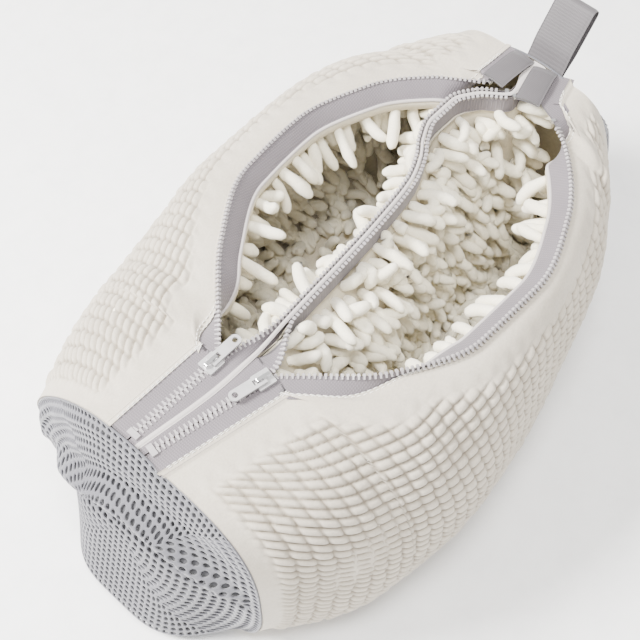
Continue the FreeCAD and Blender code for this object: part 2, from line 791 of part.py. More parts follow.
def bottom_stop(side):
    """Block moulded over the last teeth of both rows at the near end."""
    name = "%s_bottom_stop" % SIDE_NAME[side]
    item = box(name, ("sizes.stop_length", "sizes.stop_width", "sizes.stop_height"),
               ("0", "0", "0"))
    item.Label = name
    x = size("teeth_start_x") - size("stop_length") - 0.9
    slope = 0.0 if side == LEFT else size("right_zip_slope")
    turn = Rotation(Vector(0, 0, 1), math.degrees(math.atan(slope)))
    corner = turn.multVec(Vector(0, -size("stop_width") / 2, -size("stop_height") / 2))
    for axis in "xyz":
        item.setExpression("Placement.Base." + axis, None)
    item.Placement = Placement(Vector(x, zip_y(side, x), top_height.at(x)) + corner, turn)
    return item


def top_stops(side):
    """Crimped stops at the far end of each row, under the webbing tab."""
    name = "%s_top_stops" % SIDE_NAME[side]
    solids = []
    for row_y in (outer_row_y, inner_row_y):
        x = size("teeth_end_x") + 2.6
        blank = Part.makeBox(2.2, size("tooth_across"), 2.4,
                             Vector(-1.1, -size("tooth_across") / 2, -1.2))
        normal = row_normal(row_y, side, x) * side
        turn = math.degrees(math.atan2(-normal.x, normal.y))
        blank.Placement = Placement(row_point(row_y, side, x), Rotation(Vector(0, 0, 1), turn))
        solids.append(blank)
    return feature(name, Part.makeCompound(solids))


# ---------------------------------------------------------------- webbing
def end_tab(side):
    """Short webbing tab laid over the far end of a zip."""
    name = "%s_end_tab" % SIDE_NAME[side]
    body = new_body(name)
    sketch = new_sketch(body, name + "_outline", "XY_Plane")
    wide = size("tab_width") / 2
    length = size("tab_end_x") - size("tab_start_x")
    add_rectangle(sketch, (0, -wide), (length, wide),
                  {"left": "0", "right": "sizes.tab_end_x - sizes.tab_start_x",
                   "bottom": "-sizes.tab_width / 2", "top": "sizes.tab_width / 2"})
    pad(body, sketch, "sizes.tab_thickness")
    start = size("tab_start_x")
    middle_y = size("%s_tab_y" % SIDE_NAME[side])
    yaw = size("%s_tab_yaw" % SIDE_NAME[side])
    height = top_height.at(start) + size("tab_lift")
    pitch = -math.degrees(math.atan((top_height.at(far_rim_x) - top_height.at(start)) / length))
    turn = Rotation(Vector(0, 0, 1), yaw).multiply(Rotation(Vector(0, 1, 0), pitch))
    body.Placement = Placement(Vector(start, middle_y, height), turn)
    return body


def hanging_loop():
    """Webbing folded back on itself; the profile is a long loop, open through its width."""
    name = "hanging_loop"
    body = new_body(name)
    thick = size("loop_thickness")
    radius = size("loop_gap") / 2
    length = size("loop_length")
    for label, offset in (("outside", thick), ("inside", 0.0)):
        sketch = new_sketch(body, name + "_" + label, "XZ_Plane")
        reach = radius + offset
        straight = length - radius - thick
        base = 0.0 if label == "outside" else thick
        left_line = Part.LineSegment(Vector(-reach, straight, 0), Vector(-reach, base, 0))
        base_line = Part.LineSegment(Vector(-reach, base, 0), Vector(reach, base, 0))
        right_line = Part.LineSegment(Vector(reach, base, 0), Vector(reach, straight, 0))
        top_arc = Part.ArcOfCircle(Part.Circle(Vector(0, straight, 0), Vector(0, 0, 1), reach),
                                   0.0, math.pi)
        sketch.addGeometry([left_line, base_line, right_line, top_arc], False)
        for first, second in ((0, 1), (1, 2), (2, 3)):
            sketch.addConstraint(Sketcher.Constraint("Coincident", first, 2, second, 1))
        sketch.addConstraint(Sketcher.Constraint("Coincident", 3, 2, 0, 1))
        if label == "outside":
            pad(body, sketch, "sizes.loop_width", True)
        else:
            pocket = body.newObject("PartDesign::Pocket", name + "_gap")
            pocket.Profile = sketch
            pocket.Midplane = True
            pocket.Length = 1.0
            pocket.setExpression("Length", "sizes.loop_width + 2")
        doc.recompute()
    lean = Rotation(Vector(0, 1, 0), 90.0 - size("loop_lean"))
    body.Placement = Placement(Vector(size("loop_x"), size("loop_y"), size("loop_z")), lean)
    return body


# ---------------------------------------------------------------- the whole bag
def build():
    items = []
    panels = [body_panel(side) for side in (LEFT, RIGHT)]
    items += panels
    for side, panel in zip((LEFT, RIGHT), panels):
        items.append(wall_noodles(side, panel))
        items.append(divider_layer(side))
        items.append(divider_noodles(side))
        items.append(outer_tape(side, panel))
        items.append(inner_tape(side))
        items.append(teeth(side, "outer", outer_row_y, 0.0))
        items.append(teeth(side, "inner", inner_row_y, size("tooth_pitch") / 2))
        items.append(lining_binding(side))
        items.append(slider_body(side))
        items.append(slider_cap(side))
        items.append(pull_tab(side))
        items.append(bottom_stop(side))
        items.append(top_stops(side))
        items.append(end_tab(side))
    items.append(centre_strip())
    items.append(end_mesh("near_end_mesh", near_rim_x, -1, size("near_bulge"), (10.0, 66.0)))
    items.append(end_mesh("far_end_mesh", far_rim_x, 1, size("far_bulge"), (16.0, 78.0)))
    items.append(rim_binding("near_rim_binding", near_rim_x, 1, panels))
    items.append(rim_binding("far_rim_binding", far_rim_x, -1, panels))
    items.append(hanging_loop())
    return items


def check_and_write(items):
    doc.recompute()
    for item in doc.Objects:
        if "Invalid" in item.State or "Error" in item.State:
            raise RuntimeError("failed object: " + item.Name)
    os.makedirs("parts", exist_ok=True)
    for item in items:
        shape = item.Shape
        if shape.isNull() or not shape.isValid() or not shape.Solids:
            raise RuntimeError("bad shape: " + item.Label)
    for item in items:
        item.Shape.exportStep("parts/%s.step" % item.Label)
        limits = item.Shape.optimalBoundingBox()
        print("%-22s solids %3d volume %9.1f  x %.1f..%.1f y %.1f..%.1f z %.1f..%.1f" % (
            item.Label, len(item.Shape.Solids), item.Shape.Volume, limits.XMin, limits.XMax,
            limits.YMin, limits.YMax, limits.ZMin, limits.ZMax))


check_and_write(build())
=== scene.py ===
import math
import bpy
import numpy as np
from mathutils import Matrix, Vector


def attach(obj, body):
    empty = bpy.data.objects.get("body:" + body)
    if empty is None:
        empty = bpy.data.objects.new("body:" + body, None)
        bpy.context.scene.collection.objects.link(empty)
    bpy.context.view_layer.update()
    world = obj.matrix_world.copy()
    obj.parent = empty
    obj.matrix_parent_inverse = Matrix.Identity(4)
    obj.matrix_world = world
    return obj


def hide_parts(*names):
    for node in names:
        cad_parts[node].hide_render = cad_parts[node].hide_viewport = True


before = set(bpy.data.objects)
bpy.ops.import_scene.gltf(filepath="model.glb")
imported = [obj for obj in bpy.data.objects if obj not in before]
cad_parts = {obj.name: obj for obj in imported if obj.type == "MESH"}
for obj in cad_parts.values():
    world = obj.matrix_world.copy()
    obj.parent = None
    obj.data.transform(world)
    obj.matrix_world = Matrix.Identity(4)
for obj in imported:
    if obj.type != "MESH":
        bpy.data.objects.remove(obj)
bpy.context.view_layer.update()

# Shoe bag: cloth, chenille pile, mesh, zips and webbing built round the CAD frame.
# Lengths below are millimetres until they reach a mesh, which is in metres.
MM = 0.001
LEFT = 1
RIGHT = -1
SIDE_NAME = {LEFT: "left", RIGHT: "right"}
random = np.random.default_rng(7)


# ------------------------------------------------------------------ lines of the bag
class SmoothLine:
    """A line without overshoot through stations (monotone cubic pieces), for arrays."""

    def __init__(self, places, values):
        self.places = np.array(places, float)
        self.values = np.array(values, float)
        steps = np.diff(self.places)
        slopes = np.diff(self.values) / steps
        self.tangents = np.concatenate([[slopes[0]], np.zeros(len(places) - 2), [slopes[-1]]])
        for i in range(1, len(places) - 1):
            if slopes[i - 1] * slopes[i] > 0:
                first = 2 * steps[i] + steps[i - 1]
                second = steps[i] + 2 * steps[i - 1]
                weighted = first / slopes[i - 1] + second / slopes[i]
                self.tangents[i] = (first + second) / weighted

    def at(self, place):
        place = np.clip(np.asarray(place, float), self.places[0], self.places[-1])
        i = np.clip(np.searchsorted(self.places, place, "right") - 1, 0, len(self.places) - 2)
        step = self.places[i + 1] - self.places[i]
        t = (place - self.places[i]) / step
        keep = 2 * t ** 3 - 3 * t ** 2 + 1
        value = keep * self.values[i] + (1 - keep) * self.values[i + 1]
        value = value + (t ** 3 - 2 * t ** 2 + t) * step * self.tangents[i]
        return value + (t ** 3 - t ** 2) * step * self.tangents[i + 1]


def ramp(value, low, high):
    t = np.clip((np.asarray(value, float) - low) / (high - low), 0.0, 1.0)
    return t * t * (3 - 2 * t)


BODY_X = [-176, -110, -50, 10, 70, 120, 186]
half_width = {LEFT: SmoothLine(BODY_X, [106, 123, 133, 140, 143, 134, 86]),
              RIGHT: SmoothLine(BODY_X, [86, 121, 131, 124, 110, 97, 54])}
widest_height = SmoothLine(BODY_X, [82, 86, 90, 92, 92, 90, 86])
top_height = SmoothLine(BODY_X, [167, 167, 167, 166, 166, 168, 170])
mouth = {LEFT: SmoothLine([-106, -90, -50, 0, 50, 100, 132, 146, 154, 186],
                          [11, 27, 65, 93, 97, 82, 56, 36, 26, 24]),
         RIGHT: SmoothLine([-94, -86, -50, 0, 50, 100, 141, 154, 160, 186],
                           [-22.4, -31, -67, -90, -91, -75, -43, -23, -10, 0])}
ridge = SmoothLine([-176, -112, -95, -62, -15, 25, 58, 78, 90, 106, 125, 140, 156, 186],
                   [2.5, -4, -4, -1, 3, 7, 12, 20, 28, 34, 34, 26, 9, 11])
NEAR_X = -176.0
FAR_X = 186.0
BASE_INSET = 42.0
TAPE_START = 2.2
TAPE_WIDTH = 12.0
ROW_OFFSET = 2.0
RIDGE_OFFSET = 2.6
OPEN_X = {LEFT: -106.0, RIGHT: -94.0}
PANEL_THICKNESS = 2.2
QUILT_DEPTH = 3.2
QUILT_ROW = 6.6
QUILT_COLUMN = 9.2
TOOTH_PITCH = 3.0
NOODLE_RADIUS = 3.7
TAB_LENGTH = 31.0
TAB_WIDTH = 16.4
LOOP_WIDTH = 28.0
LOOP_HEIGHT = 43.0
LOOP_FOLD_RADIUS = 3.75
LOOP_LEAN = 36.0
HOLE_SHARE = (0.74, 0.80)


def zip_y(side, x):
    x = np.asarray(x, float)
    return x * 0 + 9.0 if side == LEFT else -4.0 - 0.2 * (x - NEAR_X)


def outer_row_y(side, x):
    return np.where(np.asarray(x) <= OPEN_X[side], zip_y(side, x) + side * ROW_OFFSET, mouth[side].at(x))


def inner_row_y(side, x):
    rise = ridge.at(np.asarray(x) + 0.5) - ridge.at(np.asarray(x) - 0.5)
    on_ridge = ridge.at(x) + side * RIDGE_OFFSET * np.sqrt(1 + rise ** 2)
    start = zip_y(side, OPEN_X[side]) - side * ROW_OFFSET
    share = ramp(x, OPEN_X[side], -60.0)
    opened = start * (1 - share) + on_ridge * share
    return np.where(np.asarray(x) <= OPEN_X[side], zip_y(side, x) - side * ROW_OFFSET, opened)


def outer_flare(side, x):
    """Degrees by which an outer tape has turned down and inward under its teeth."""
    turn_over = {LEFT: 42.0, RIGHT: 84.0}[side]
    return 140.0 * ramp(x, OPEN_X[side], OPEN_X[side] + turn_over) * (1 - ramp(x, 136.0, 157.0))


def inner_fall(side, x):
    """Degrees by which an inner tape has turned down beside the divider."""
    return 90.0 * ramp(x, OPEN_X[side], -60.0)


def panel_edge(side, x):
    """Height and side place of the outer cloth where it meets the zip tape."""
    step = 0.5
    rise = (outer_row_y(side, x + step) - outer_row_y(side, x - step)) / (2 * step)
    steep = np.minimum(np.sqrt(1 + rise ** 2), 1.5)
    flare = np.radians(np.minimum(outer_flare(side, x), 90.0))
    distance = TAPE_START + 0.6 + (TAPE_WIDTH + 0.3) * np.cos(flare)
    y = outer_row_y(side, x) + side * distance * steep
    return y, top_height.at(x) - 1.0 - 2.5 * np.sin(flare)


def fullness(side, x):
    """How far the shoulder of a side swells out: 2 is round, more is squarer."""
    share = (x - NEAR_X) / (FAR_X - NEAR_X)
    if side == RIGHT:
        return 2.0 + ramp(-share, -0.35, 0.0) + 0.6 * ramp(share, 0.75, 1.0)
    return 2.2 - 0.75 * ramp(-share, -0.18, 0.0) + 0.9 * ramp(share, 0.6, 1.0)


def body_grid(side, xs, count, under_share=0.25):
    """Outer cloth points: one row per x, from the zip edge to the base seam, the given
    share of them on the base. Returns the points and their distances along the cloth."""
    fine = np.linspace(0, math.pi / 2, 60)
    points = np.zeros((len(xs), count, 3))
    along = np.zeros((len(xs), count))
    for i, x in enumerate(xs):
        edge_y, edge_z = panel_edge(side, x)
        wide_y = side * half_width[side].at(x)
        wide_z = widest_height.at(x)
        base_y = wide_y - side * BASE_INSET
        shoulder = 2.0 / fullness(side, x)
        ys = np.concatenate([edge_y + (wide_y - edge_y) * np.sin(fine) ** shoulder,
                             (base_y + (wide_y - base_y) * np.clip(np.cos(fine), 0, 1) ** 0.9)[1:],
                             np.linspace(base_y, side * 0.2, 30)[1:]])
        zs = np.concatenate([wide_z + (edge_z - wide_z) * np.clip(np.cos(fine), 0, 1) ** shoulder,
                             (wide_z - wide_z * np.sin(fine) ** 0.9)[1:], np.zeros(29)])
        lengths = np.concatenate([[0], np.cumsum(np.hypot(np.diff(ys), np.diff(zs)))])
        base_run = abs(base_y) - 5.0
        under = int(count * under_share)
        seen = np.linspace(0, lengths[-1] - base_run, count - under, endpoint=under == 0)
        stops = np.concatenate([seen, np.linspace(lengths[-1] - base_run, lengths[-1], under)])
        points[i, :, 0] = x
        points[i, :, 1] = np.interp(stops, lengths, ys)
        points[i, :, 2] = np.interp(stops, lengths, zs)
        along[i] = stops
    return points, along


def grid_normals(points, side):
    """Unit normals of a grid, pointing out of the bag."""
    du = np.gradient(points, axis=0)
    dv = np.gradient(points, axis=1)
    normal = np.cross(du, dv) * side
    return normal / np.maximum(np.linalg.norm(normal, axis=2, keepdims=True), 1e-9)


# ------------------------------------------------------------------ mesh building
def make_object(name, points, faces, material, smooth=True):
    """One mesh object from points in millimetres and faces of any number of corners."""
    mesh = bpy.data.meshes.new(name)
    mesh.from_pydata((np.asarray(points) * MM).tolist(), [], [tuple(map(int, f)) for f in faces])
    mesh.validate()
    mesh.polygons.foreach_set("use_smooth", [smooth] * len(mesh.polygons))
    mesh.materials.append(material)
    item = bpy.data.objects.new(name, mesh)
    bpy.context.collection.objects.link(item)
    return item


def grid_faces(rows, columns, start=0, flip=False, close_columns=False):
    """Quads between the points of a grid; its last column joins the first when closed."""
    index = np.arange(rows * columns).reshape(rows, columns) + start
    if close_columns:
        index = np.concatenate([index, index[:, :1]], axis=1)
    a = index[:-1, :-1].ravel()
    b = index[1:, :-1].ravel()
    c = index[1:, 1:].ravel()
    d = index[:-1, 1:].ravel()
    order = [a, d, c, b] if flip else [a, b, c, d]
    return np.stack(order, axis=1)


def border_loop(rows, columns, start):
    """Indices round the border of a grid."""
    grid = np.arange(rows * columns).reshape(rows, columns) + start
    return np.concatenate([grid[0, :-1], grid[:-1, -1], grid[-1, :0:-1], grid[:0:-1, 0]])


def thick_sheet(name, outer, inner, material, skip=1):
    """Closed cloth between two point grids; the inner face keeps one point in every skip."""
    rows, columns = outer.shape[:2]
    matching = outer[::skip, ::skip]
    inner = inner[::skip, ::skip]
    count = rows * columns
    points = np.concatenate([outer.reshape(-1, 3), inner.reshape(-1, 3)])
    faces = grid_faces(rows, columns, 0).tolist()
    faces += grid_faces(inner.shape[0], inner.shape[1], count, True).tolist()
    fine = border_loop(rows, columns, 0)
    coarse = border_loop(inner.shape[0], inner.shape[1], count)
    for k in range(len(coarse)):
        edge = [fine[(k * skip + i) % len(fine)] for i in range(skip + 1)]
        faces.append([coarse[k], coarse[(k + 1) % len(coarse)]] + edge[::-1])
    normal = np.cross(np.gradient(matching, axis=0), np.gradient(matching, axis=1))
    if (normal * (matching - inner)).sum() < 0:
        faces = [face[::-1] for face in faces]
    return make_object(name, points, faces, material)


def tubes(name, centres, radii, sides, material):
    """Many round-ended tubes in one mesh: centres (n, k, 3), radii (n, k)."""
    n, k = centres.shape[:2]
    tangent = np.gradient(centres, axis=1)
    tangent /= np.maximum(np.linalg.norm(tangent, axis=2, keepdims=True), 1e-9)
    helper = np.tile(np.array([0.31, 0.52, 0.79]), (n, 1))
    turned = np.abs((helper * tangent[:, 0]).sum(axis=1)) > 0.9
    helper[turned] = [0.9, -0.3, 0.1]
    first = np.cross(tangent, helper[:, None, :])
    first /= np.maximum(np.linalg.norm(first, axis=2, keepdims=True), 1e-9)
    second = np.cross(tangent, first)
    angles = np.linspace(0, 2 * math.pi, sides, endpoint=False)
    ring = (first[:, :, None, :] * np.cos(angles)[None, None, :, None]
            + second[:, :, None, :] * np.sin(angles)[None, None, :, None])
    body = centres[:, :, None, :] + ring * radii[:, :, None, None]
    tips = np.stack([centres[:, 0] - tangent[:, 0] * radii[:, :1] * 0.4,
                     centres[:, -1] + tangent[:, -1] * radii[:, -1:] * 0.4], axis=1)
    per = k * sides + 2
    points = np.concatenate([body.reshape(n, k * sides, 3), tips], axis=1).reshape(-1, 3)
    one = grid_faces(k, sides, 0, True, True)
    starts = np.arange(n) * per
    quads = (one[None, :, :] + starts[:, None, None]).reshape(-1, 4)
    around = np.arange(sides)
    after = np.roll(around, -1)
    low = np.stack([after, around, np.full(sides, k * sides)], axis=1)
    high = np.stack([around + (k - 1) * sides, after + (k - 1) * sides,
                     np.full(sides, k * sides + 1)], axis=1)
    caps = (np.concatenate([low, high])[None, :, :] + starts[:, None, None]).reshape(-1, 3)
    return make_object(name, points, quads.tolist() + caps.tolist(), material)


def ribbon(name, origins, alongs, ups, starts, widths, thick, material, columns=9, crown=0.0):
    """Closed strip: at each station it runs from start to start + width along a direction."""
    share = np.linspace(0, 1, columns)[None, :, None]
    reach = starts[:, None, None] + widths[:, None, None] * share
    middle = origins[:, None, :] + alongs[:, None, :] * reach
    middle = middle + ups[:, None, :] * (crown * np.sin(math.pi * share))
    soft_edge = 1 - 0.75 * (np.abs(share * 2 - 1) ** 14)
    top = middle + ups[:, None, :] * (thick / 2 * soft_edge)
    bottom = middle - ups[:, None, :] * (thick / 2 * soft_edge)
    return thick_sheet(name, top, bottom, material)


# ------------------------------------------------------------------ materials
def new_material(name, color, roughness, sheen=0.0):
    material = bpy.data.materials.new(name)
    material.use_nodes = True
    shader = material.node_tree.nodes["Principled BSDF"]
    shader.inputs["Base Color"].default_value = (*color, 1)
    shader.inputs["Roughness"].default_value = roughness
    shader.inputs["Sheen Weight"].default_value = sheen
    shader.inputs["Sheen Roughness"].default_value = 0.5
    return material, material.node_tree, shader


def link(tree, source, target):
    tree.links.new(source, target)


def coordinates(tree, scale=(1, 1, 1)):
    place = tree.nodes.new("ShaderNodeTexCoord")
    mapping = tree.nodes.new("ShaderNodeMapping")
    mapping.inputs["Scale"].default_value = scale
    link(tree, place.outputs["Object"], mapping.inputs["Vector"])
    return mapping.outputs["Vector"]


def noise(tree, vector, scale, detail=4.0, roughness=0.55):
    node = tree.nodes.new("ShaderNodeTexNoise")
    node.inputs["Scale"].default_value = scale
    node.inputs["Detail"].default_value = detail
    node.inputs["Roughness"].default_value = roughness
    link(tree, vector, node.inputs["Vector"])
    return node.outputs["Fac"]


def color_ramp(tree, factor, dark, light, low=0.3, high=0.7):
    node = tree.nodes.new("ShaderNodeValToRGB")
    node.color_ramp.elements[0].position = low
    node.color_ramp.elements[0].color = (*dark, 1)
    node.color_ramp.elements[1].position = high
    node.color_ramp.elements[1].color = (*light, 1)
    link(tree, factor, node.inputs["Fac"])
    return node.outputs["Color"]


def bump(tree, height, strength, distance, normal=None):
    node = tree.nodes.new("ShaderNodeBump")
    node.inputs["Strength"].default_value = strength
    node.inputs["Distance"].default_value = distance
    link(tree, height, node.inputs["Height"])
    if normal is not None:
        link(tree, normal, node.inputs["Normal"])
    return node.outputs["Normal"]


def wave(tree, vector, scale, direction, distortion=0.6):
    node = tree.nodes.new("ShaderNodeTexWave")
    node.wave_type = "BANDS"
    node.bands_direction = direction
    node.inputs["Scale"].default_value = scale
    node.inputs["Distortion"].default_value = distortion
    node.inputs["Detail"].default_value = 1.0
    link(tree, vector, node.inputs["Vector"])
    return node.outputs["Fac"]


def mix_color(tree, factor, first, second, mode="MIX"):
    node = tree.nodes.new("ShaderNodeMix")
    node.data_type = "RGBA"
    node.blend_type = mode
    if isinstance(factor, float):
        node.inputs["Factor"].default_value = factor
    else:
        link(tree, factor, node.inputs["Factor"])
    link(tree, first, node.inputs["A"])
    link(tree, second, node.inputs["B"])
    return node.outputs["Result"]


def cloth_material(name, dark, light, fibre=900.0, rough=0.92, sheen=0.25, grain=0.35):
    """Soft cloth: blotchy tone, fine fibre grain and a little sheen."""
    material, tree, shader = new_material(name, light, rough, sheen)
    vector = coordinates(tree)
    tone = color_ramp(tree, noise(tree, vector, 28.0), dark, light)
    fine = noise(tree, vector, fibre, 6.0, 0.7)
    speck = color_ramp(tree, fine, tuple(c * 0.86 for c in dark), light, 0.25, 0.6)
    link(tree, mix_color(tree, 0.45, tone, speck), shader.inputs["Base Color"])
    coarse = bump(tree, noise(tree, vector, fibre * 0.33, 3.0), grain, 0.0006)
    link(tree, bump(tree, fine, grain, 0.0003, coarse), shader.inputs["Normal"])
    return material


def woven_material(name, dark, light, pitch_scale, rough=0.75, strength=0.5):
    """Woven tape or webbing: fine crossed ribs with slight tone changes."""
    material, tree, shader = new_material(name, light, rough, 0.2)
    vector = coordinates(tree)
    lengthwise = wave(tree, vector, pitch_scale, "Y")
    crosswise = wave(tree, vector, pitch_scale * 0.8, "X")
    weave = tree.nodes.new("ShaderNodeMath")
    weave.operation = "MULTIPLY"
    link(tree, lengthwise, weave.inputs[0])
    link(tree, crosswise, weave.inputs[1])
    tone = color_ramp(tree, noise(tree, vector, 60.0), dark, light, 0.2, 0.8)
    threads = color_ramp(tree, weave.outputs[0], tuple(c * 0.9 for c in dark), light, 0.0, 0.5)
    link(tree, mix_color(tree, 0.5, tone, threads), shader.inputs["Base Color"])
    fine = bump(tree, noise(tree, vector, 1500.0), 0.25, 0.0002)
    link(tree, bump(tree, weave.outputs[0], strength, 0.0004, fine), shader.inputs["Normal"])
    return material


def hard_material(name, dark, light, rough, metal, coat=0.0):
    material, tree, shader = new_material(name, light, rough)
    shader.inputs["Metallic"].default_value = metal
    shader.inputs["Coat Weight"].default_value = coat
    vector = coordinates(tree)
    marks = noise(tree, vector, 400.0, 5.0)
    link(tree, color_ramp(tree, noise(tree, vector, 120.0), dark, light), shader.inputs["Base Color"])
    rough_range = tree.nodes.new("ShaderNodeMapRange")
    rough_range.inputs["To Min"].default_value = max(rough - 0.08, 0.02)
    rough_range.inputs["To Max"].default_value = rough + 0.12
    link(tree, marks, rough_range.inputs["Value"])
    link(tree, rough_range.outputs["Result"], shader.inputs["Roughness"])
    link(tree, bump(tree, marks, 0.08, 0.0002), shader.inputs["Normal"])
    return material


def quilted_material():
    """Quilted cloth: creamy, with painted shade darkening it down in the stitch lines."""
    material = cloth_material("quilted_cloth", (0.45, 0.40, 0.325), (0.57, 0.515, 0.43), 700.0,
                              0.95, 0.2, 0.5)
    tree = material.node_tree
    shader = tree.nodes["Principled BSDF"]
    cloth = shader.inputs["Base Color"].links[0].from_socket
    # Painted shade: a stored point value darkens the cloth colour down in the stitch grooves, where
    # shade falls.
    depth = tree.nodes.new("ShaderNodeAttribute")
    depth.attribute_name = "painted_stitch_shade"
    shade = color_ramp(tree, depth.outputs["Fac"], (0.42, 0.39, 0.35), (1.0, 1.0, 1.0), 0.08, 0.75)
    link(tree, mix_color(tree, 1.0, cloth, shade, "MULTIPLY"), shader.inputs["Base Color"])
    return material


quilt = quilted_material()
pile = cloth_material("chenille", (0.83, 0.76, 0.57), (0.95, 0.90, 0.76), 520.0, 0.95, 0.45, 0.9)
backing = cloth_material("pile_backing", (0.50, 0.45, 0.34), (0.66, 0.60, 0.48),
                         500.0, 0.95, 0.1, 0.5)
bias = cloth_material("bias_cloth", (0.42, 0.385, 0.37), (0.52, 0.48, 0.465),
                      1300.0, 0.85, 0.2, 0.2)
tape_cloth = woven_material("zip_tape", (0.140, 0.121, 0.134), (0.184, 0.163, 0.177), 260.0)
web_cloth = woven_material("webbing", (0.075, 0.068, 0.073), (0.103, 0.094, 0.100), 330.0, 0.6, 0.25)
mesh_cloth = cloth_material("air_mesh", (0.082, 0.081, 0.096), (0.122, 0.121, 0.140),
                            1500.0, 0.7, 0.3, 0.3)
mesh_dark = cloth_material("mesh_backing", (0.06, 0.06, 0.065), (0.10, 0.10, 0.11),
                           1200.0, 0.95, 0.1, 0.3)
thread = cloth_material("thread", (0.78, 0.76, 0.70), (0.90, 0.88, 0.84), 2500.0, 0.8, 0.2, 0.2)
tooth_plastic = hard_material("zip_teeth", (0.33, 0.305, 0.31), (0.42, 0.395, 0.40), 0.42, 0.0, 0.1)
enamel = hard_material("slider_enamel", (0.46, 0.45, 0.455), (0.56, 0.55, 0.555), 0.3, 0.3, 0.4)
bright = hard_material("slider_bright", (0.75, 0.75, 0.76), (0.92, 0.92, 0.93), 0.12, 1.0)
stop_metal = hard_material("stop_metal", (0.6, 0.6, 0.61), (0.75, 0.75, 0.76), 0.3, 1.0)


# ------------------------------------------------------------------ outer cloth
def row_frames(row_y, side, xs):
    """Points of a row with its outward horizontal normal."""
    origin = np.stack([xs, row_y(side, xs), top_height.at(xs)], axis=1)
    rise = row_y(side, xs + 0.5) - row_y(side, xs - 0.5)
    across = np.stack([-rise, np.ones_like(xs), np.zeros_like(xs)], axis=1)
    across /= np.linalg.norm(across, axis=1, keepdims=True)
    return origin, across * side


def quilt_height(x, climb):
    """Pillow shape of the quilting, 0 in the stitch lines: rows along the bag, short cells.
    The rows are counted by their climb along the cloth from the base seam."""
    wander = 1.2 * np.sin(x / 38.0 + climb / 60.0) + 0.45 * np.sin(x / 15.0 - climb / 24.0)
    rows = (climb + wander) / QUILT_ROW
    row = np.floor(rows)
    shift = 0.07 * np.sin(row * 2.4) + 1.6 * np.sin(climb / 33.0 + x / 60.0) / QUILT_COLUMN
    columns = x / QUILT_COLUMN + shift
    a = 2 * (rows - row) - 1
    b = 2 * (columns - np.floor(columns)) - 1
    cell = np.sin(row * 12.9898 + np.floor(columns) * 78.233) * 43758.5453
    cell = cell - np.floor(cell)
    pillow = (1 - np.abs(a) ** 2.2) ** 0.75 * (1 - 0.8 * np.abs(b) ** 4.0)
    return pillow * (0.84 + 0.22 * cell)


def panel_lap(side, xs):
    """Cloth sewn on top of the outer tape, from near the teeth out to the panel's edge."""
    origin, across = row_frames(outer_row_y, side, xs)
    flare = np.radians(outer_flare(side, xs))[:, None]
    up_axis = np.array([[0.0, 0.0, 1.0]])
    direction = across * np.cos(flare) - up_axis * np.sin(flare)
    up = across * np.sin(flare) + up_axis * np.cos(flare)
    reach = 3.2 + 7.6 * (1 - ramp(outer_flare(side, xs), 20.0, 90.0))[:, None]
    edge_y, edge_z = panel_edge(side, xs)
    edge = np.stack([xs, edge_y, edge_z], axis=1)
    first = origin + direction * reach + up * 0.75
    middle = (first * 0.6 + edge * 0.4) + up * 0.5
    last = first * 0.22 + edge * 0.78 + np.array([[0.0, 0.0, 0.55]])
    return np.stack([first, middle, last], axis=1)


def body_panel(side):
    """Quilted outer cloth of one side, with painted shade for its stitch grooves stored for its colour.
    """
    xs = np.linspace(NEAR_X, FAR_X, 421)
    points, along = body_grid(side, xs, 388, 0.10)
    normal = grid_normals(points, side)
    x = points[:, :, 0]
    margin = ramp(along, 15.0, 24.0)
    margin = margin * ramp(x, NEAR_X + 7, NEAR_X + 15) * (1 - ramp(x, FAR_X - 12, FAR_X - 5))
    off_floor = ramp(points[:, :, 2], 0.5, 8.0)
    cells = quilt_height(x, along[:, -1:] - along)
    height = QUILT_DEPTH * (cells - 0.35) * margin * (0.25 + 0.75 * off_floor)
    sag = 1.8 * np.sin(x / 37.0 + 1.3 * side) * np.sin(along / 29.0 + 0.6)
    sag = sag * ramp(along, 25.0, 70.0)
    sag = sag + 0.9 * np.sin(x / 17.0 + along / 21.0) * ramp(along, 25.0, 60.0)
    puckers = 0.35 * np.sin(x / 1.9) * np.exp(-((along - 15.0) / 4.0) ** 2)
    outer = points + normal * ((height + sag * off_floor + puckers)[:, :, None])
    outer[:, :, 2] = np.maximum(outer[:, :, 2], 0.05)
    inner = points - normal * PANEL_THICKNESS
    inner[:, :, 2] = np.maximum(inner[:, :, 2], 1.6)
    lap = panel_lap(side, xs)
    under = lap - np.array([0.0, 0.0, 0.45])
    outer = np.concatenate([lap, outer], axis=1)
    inner = np.concatenate([under, inner], axis=1)
    name = SIDE_NAME[side] + "_body_panel"
    item = thick_sheet("cloth_" + name, outer, inner, quilt, 3)
    # Painted shade: 1 on the pillows and the margins, lower down in the stitch grooves, darkening the
    # quilted colour there.
    groove_shading = 1 - (1 - np.clip(cells, 0, 1)) * margin
    depth = np.concatenate([np.ones((len(xs), 3)), groove_shading], axis=1)
    tone = item.data.attributes.new("painted_stitch_shade", "FLOAT", "POINT")
    inside = len(item.data.vertices) - depth.size
    tone.data.foreach_set("value", np.concatenate([depth.ravel(), np.ones(inside)]))
    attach(item, "bag")
    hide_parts(name)


for side in (LEFT, RIGHT):
    body_panel(side)


# ------------------------------------------------------------------ zips
def tape_frames(row_y, angle_of, side, xs, sign):
    """Origins, directions across the tape and directions out of its face."""
    origin, across = row_frames(row_y, side, xs)
    across = across * sign
    angle = np.radians(angle_of(side, xs))[:, None]
    up_axis = np.array([[0.0, 0.0, 1.0]])
    along = across * np.cos(angle) - up_axis * np.sin(angle)
    up = across * np.sin(angle) + up_axis * np.cos(angle)
    return origin, along, up


def tape_starts(side, xs):
    """Where a tape begins beside its row: under the teeth, and nearly at the other tape
    where the zip is closed."""
    return -0.4 - 1.05 * (1 - ramp(xs, OPEN_X[side] - 16.0, OPEN_X[side] - 8.0))


